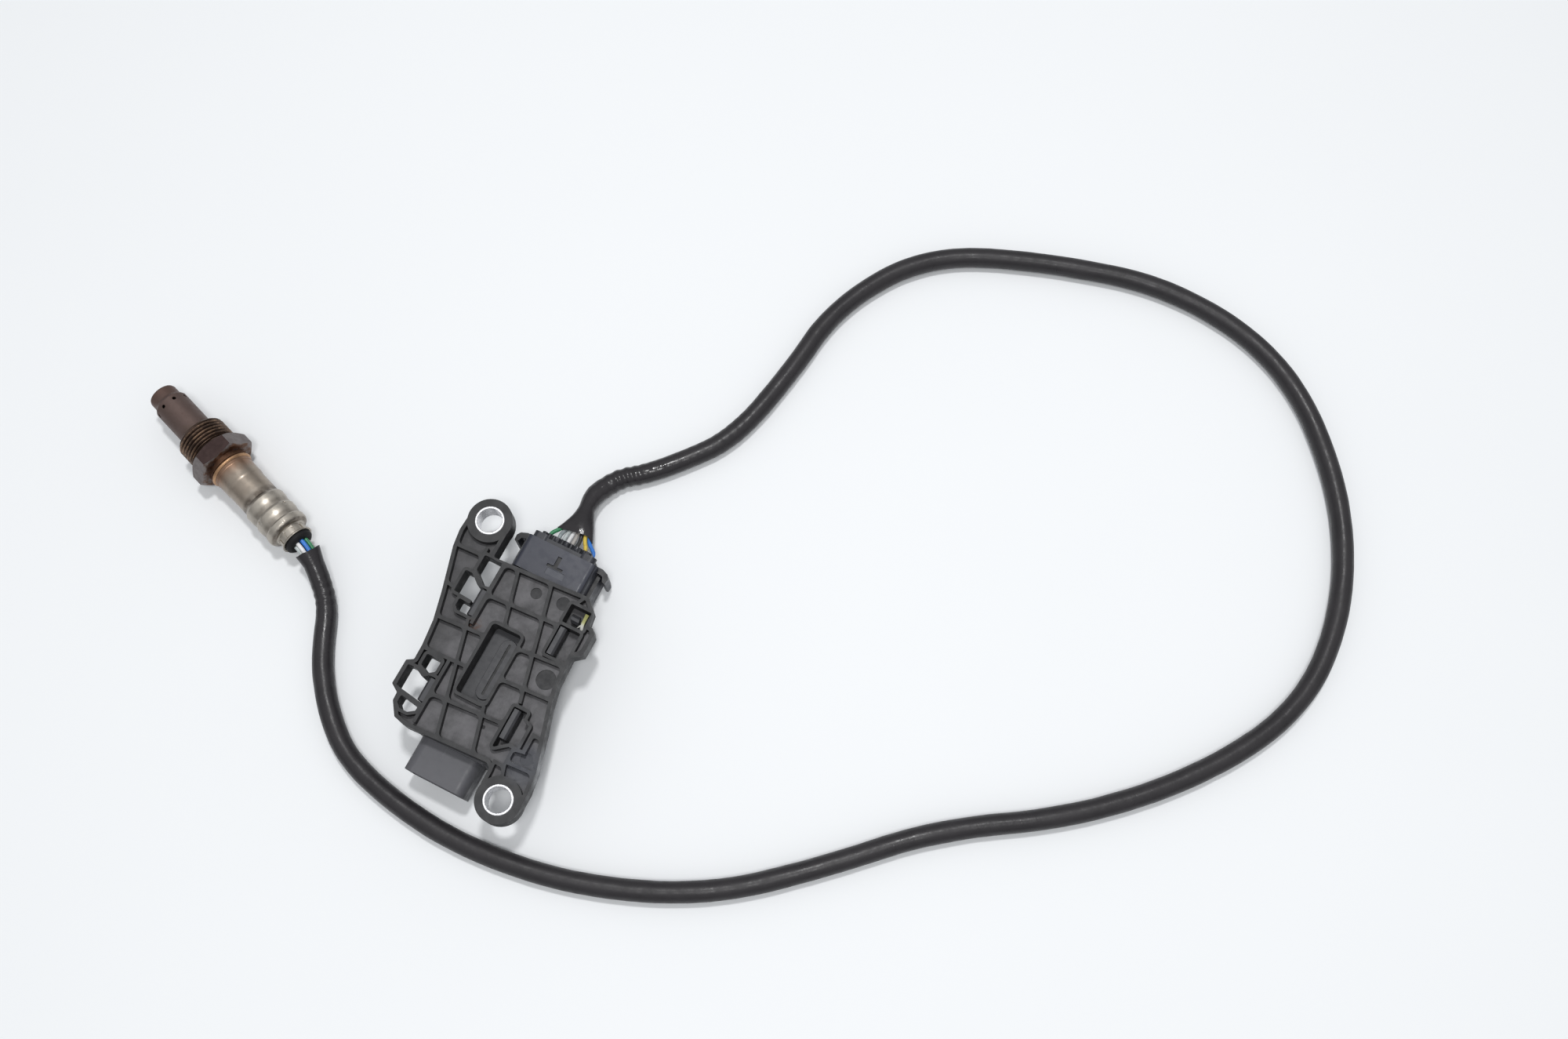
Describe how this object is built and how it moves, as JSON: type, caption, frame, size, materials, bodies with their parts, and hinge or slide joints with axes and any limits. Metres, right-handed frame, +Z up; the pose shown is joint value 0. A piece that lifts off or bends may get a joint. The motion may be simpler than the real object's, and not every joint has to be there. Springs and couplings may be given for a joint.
{
  "type": "oxygen sensor",
  "caption": "Screw-in exhaust probe on a sleeved lead, joined to a flat control unit with a plug socket in a ribbed bracket with two bushings.",
  "frame": {"origin": "on the rest surface midway between the axes of the two mounting bushings", "axes": "+Z up, square to the control unit; +Y along the unit from its plug socket to its cable end; +X across the unit, away from the probe"},
  "size_m": [0.4587, 0.3324, 0.0272],
  "materials": {
    "bracket_plastic": "moulded glass-filled nylon, dusty",
    "housing_plastic": "moulded plastic, fine grain",
    "cap_plastic": "moulded plastic, slate",
    "bushing_metal": "turned, bright",
    "contact_metal": "tinned contact strip",
    "board_laminate": "solder-masked laminate",
    "chip_plastic": "moulded package",
    "capacitor_metal": "can",
    "seal_rubber": "moulded rubber",
    "sleeve_rubber": "glossy elastomer sleeve",
    "nickel_steel": "drawn, warm nickel",
    "bead_copper": "copper bead",
    "shell_steel": "turned, heat tinted",
    "tube_steel": "drawn, heat stained",
    "ceramic": "alumina",
    "talc": "pressed powder",
    "element_ceramic": "zirconia strip",
    "wire_green": "insulation",
    "wire_grey": "insulation",
    "wire_light_grey": "insulation",
    "wire_white": "insulation",
    "wire_beige": "insulation",
    "wire_black": "insulation",
    "wire_yellow": "insulation",
    "wire_blue": "insulation"
  },
  "bodies": {
    "root": {"bracket": "bracket_plastic", "bushing_lower": "bushing_metal", "bushing_upper": "bushing_metal", "cable_cap": "cap_plastic", "cable_sleeve": "sleeve_rubber", "capacitors": "capacitor_metal", "circuit_board": "board_laminate", "contact_holder": "ceramic", "contact_springs": "contact_metal", "controller_chip": "chip_plastic", "front_ceramic": "ceramic", "heater_driver": "chip_plastic", "inner_protection_tube": "tube_steel", "outer_protection_tube": "tube_steel", "probe_grommet": "seal_rubber", "probe_shell": "shell_steel", "probe_wire_beige": "wire_beige", "probe_wire_black": "wire_black", "probe_wire_blue": "wire_blue", "probe_wire_green": "wire_green", "probe_wire_grey": "wire_grey", "probe_wire_light_grey": "wire_light_grey", "probe_wire_white": "wire_white", "probe_wire_yellow": "wire_yellow", "protective_sleeve": "nickel_steel", "rear_ceramic": "ceramic", "sensor_element": "element_ceramic", "sleeve_flare": "sleeve_rubber", "sleeve_mouth": "sleeve_rubber", "socket_blades": "contact_metal", "talc_packing": "talc", "unit_housing": "housing_plastic", "unit_wire_beige": "wire_beige", "unit_wire_black": "wire_black", "unit_wire_blue": "wire_blue", "unit_wire_green": "wire_green", "unit_wire_grey": "wire_grey", "unit_wire_light_grey": "wire_light_grey", "unit_wire_white": "wire_white", "unit_wire_yellow": "wire_yellow", "weld_bead": "bead_copper", "wire_seal": "seal_rubber", "wire_terminals": "contact_metal"}
  },
  "joints": []
}
